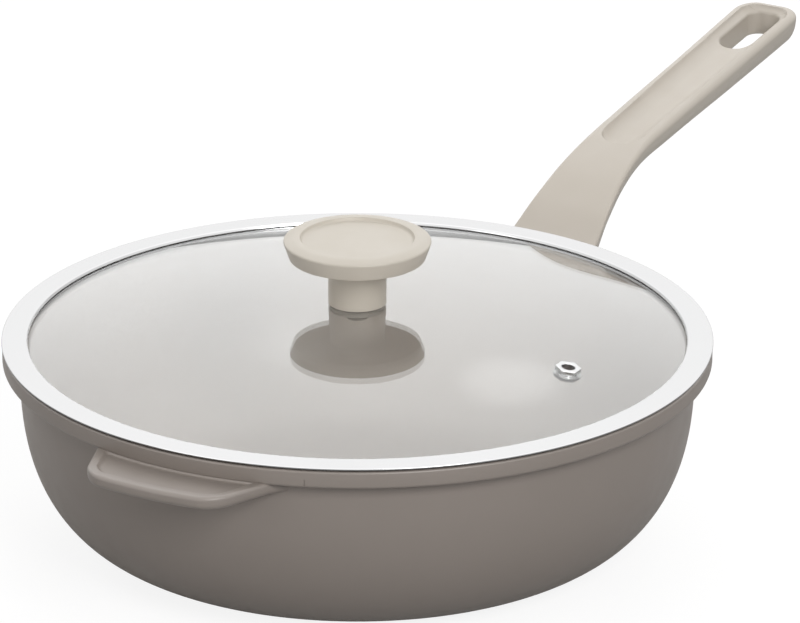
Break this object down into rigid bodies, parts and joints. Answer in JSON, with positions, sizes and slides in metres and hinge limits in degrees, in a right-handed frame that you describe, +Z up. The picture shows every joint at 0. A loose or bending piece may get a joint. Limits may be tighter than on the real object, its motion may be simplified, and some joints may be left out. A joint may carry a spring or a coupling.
{
  "type": "wok with lid",
  "caption": "Deep curved pan with a long rising handle, a short helper handle and a domed glass lid with a steel ring, a steam vent and a central knob.",
  "frame": {"origin": "centre of the flat base, on the surface the pan stands on", "axes": "+X along the long handle, -X through the helper handle, +Z up the knob's axis"},
  "size_m": [0.5332, 0.29, 0.1295],
  "materials": {
    "coated_cast": "cast aluminium under a satin taupe coating",
    "base_steel": "turned stainless steel",
    "soft_grip": "beige soft-touch moulding",
    "lid_glass": "clear tempered glass",
    "polished_steel": "polished stainless steel",
    "bright_steel": "plain stainless steel",
    "brass": "plain brass",
    "dark_silicone": "matt silicone"
  },
  "bodies": {
    "pan": {"pan_body": "coated_cast", "base_disc": "base_steel", "handle_grip": "soft_grip", "handle_insert": "brass", "handle_washer": "bright_steel", "handle_screw": "bright_steel"},
    "lid": {"lid_glass": "lid_glass", "lid_rim": "polished_steel", "vent_eyelet": "bright_steel", "vent_washer": "bright_steel", "knob_grip": "soft_grip", "knob_insert": "brass", "knob_gasket_upper": "dark_silicone", "knob_gasket_lower": "dark_silicone", "knob_washer": "bright_steel", "knob_screw": "bright_steel"}
  },
  "joints": [
    {"name": "lid_lift", "type": "slide", "parent": "pan", "child": "lid", "axis": [0, 0, 1], "range_m": [0, 0.12]}
  ]
}
